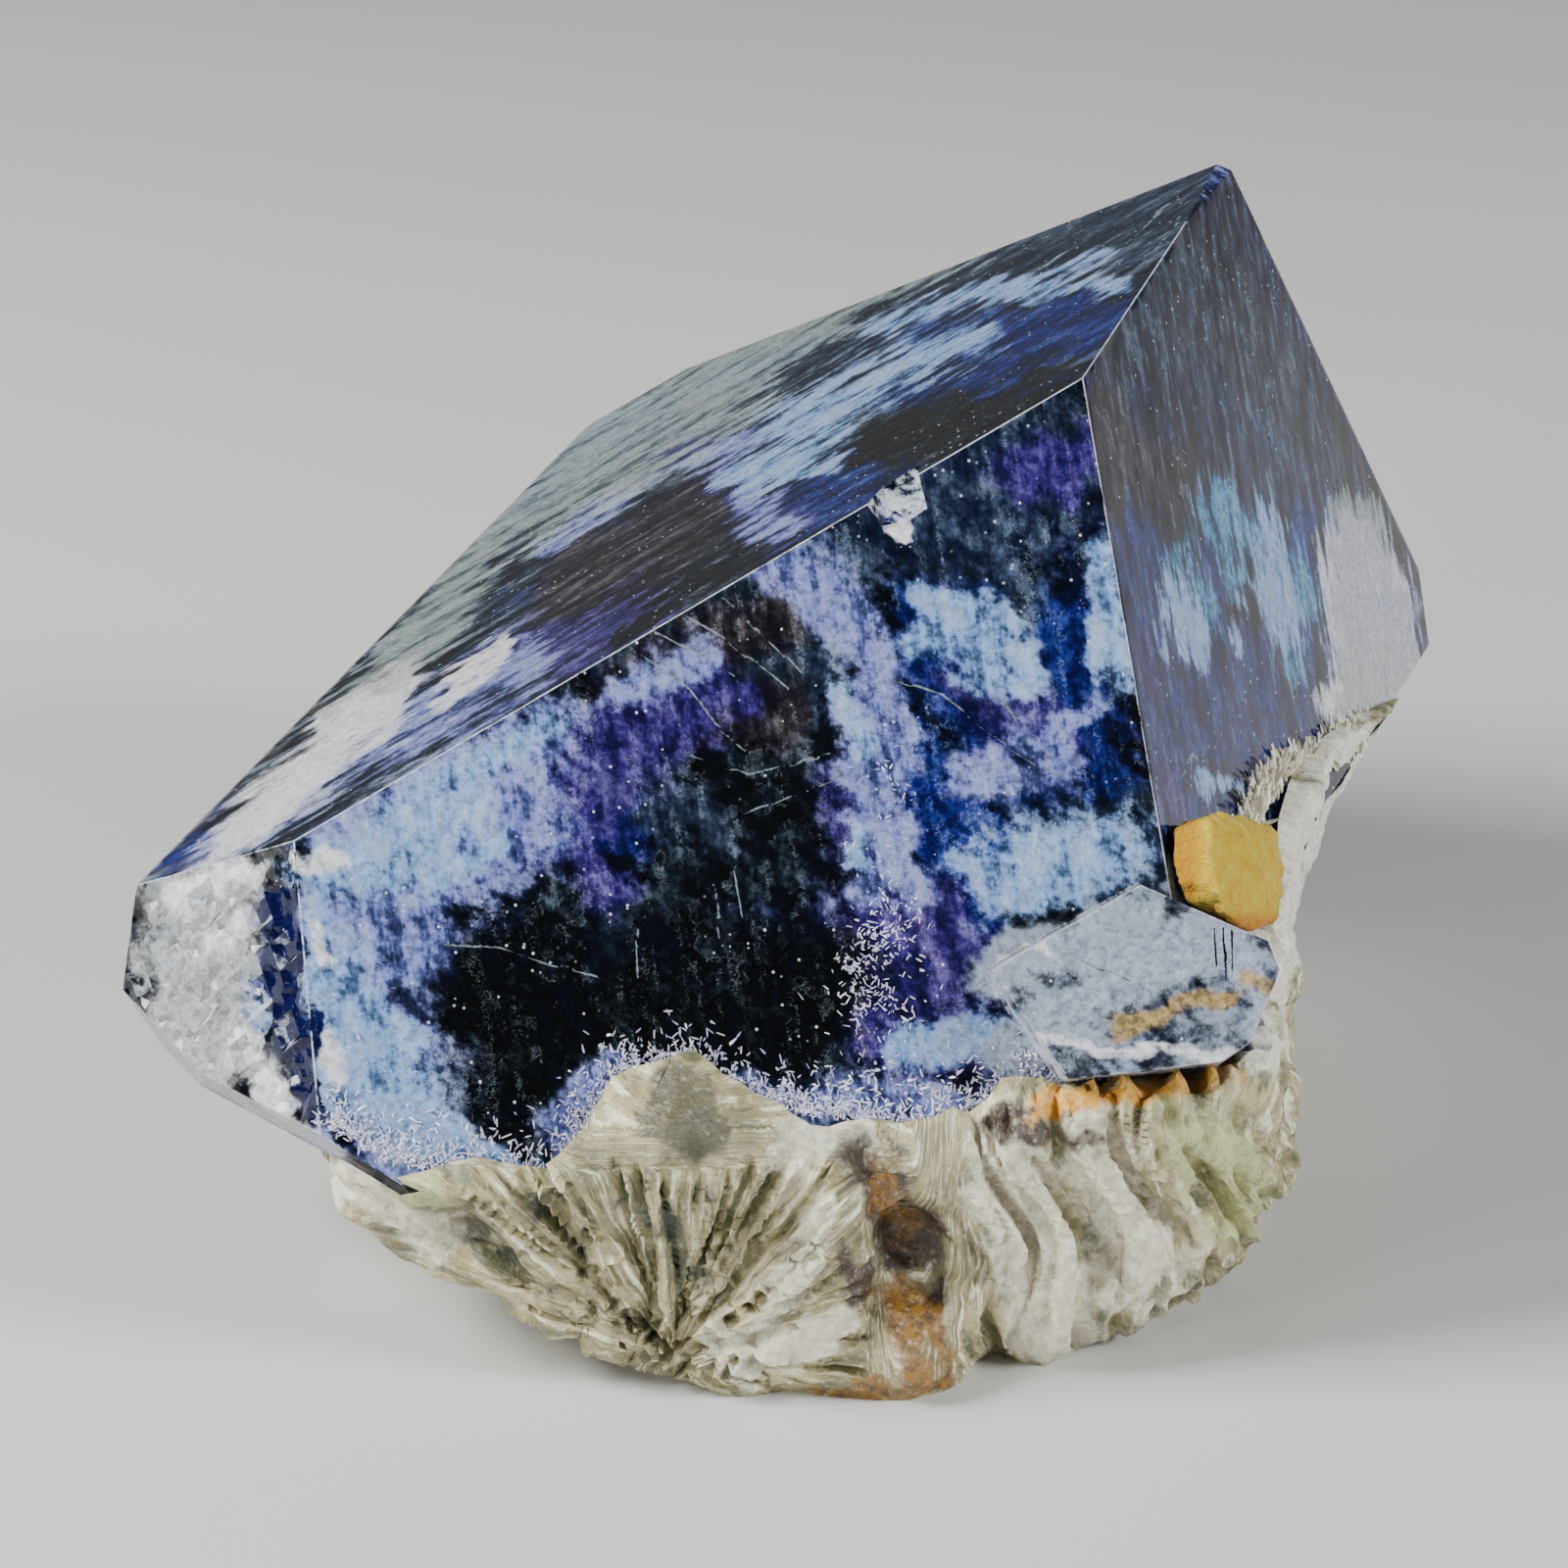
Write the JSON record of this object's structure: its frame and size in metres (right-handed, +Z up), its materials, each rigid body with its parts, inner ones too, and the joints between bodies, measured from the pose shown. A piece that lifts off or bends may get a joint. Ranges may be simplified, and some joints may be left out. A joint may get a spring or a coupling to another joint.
{
  "type": "mineral specimen",
  "caption": "Blue-violet fluorite octahedron with cube truncations standing in a socket in a lump of silver-green mica, with a yellow grain at its foot. Rests on a flat base.",
  "frame": {"origin": "middle of the bounding box at the level of the flat base", "axes": "+Z up from the base, -Y is the front that the broad octahedron face looks toward, +X to the right where the tall corner stands, seen from the front"},
  "size_m": [0.0506, 0.0538, 0.0334],
  "materials": {
    "fluorite": "clear to hazy blue-violet crystal with zoned colour, bright growth faces and rubbed edges",
    "mica": "silver-green and cream mica, pearly, crumbled, stained orange and brown in places",
    "yellow_mineral": "translucent yellow grain with a sugary surface"
  },
  "bodies": {
    "root": {"fluorite_crystal": "fluorite", "mica_matrix": "mica", "yellow_grain": "yellow_mineral"}
  },
  "joints": []
}
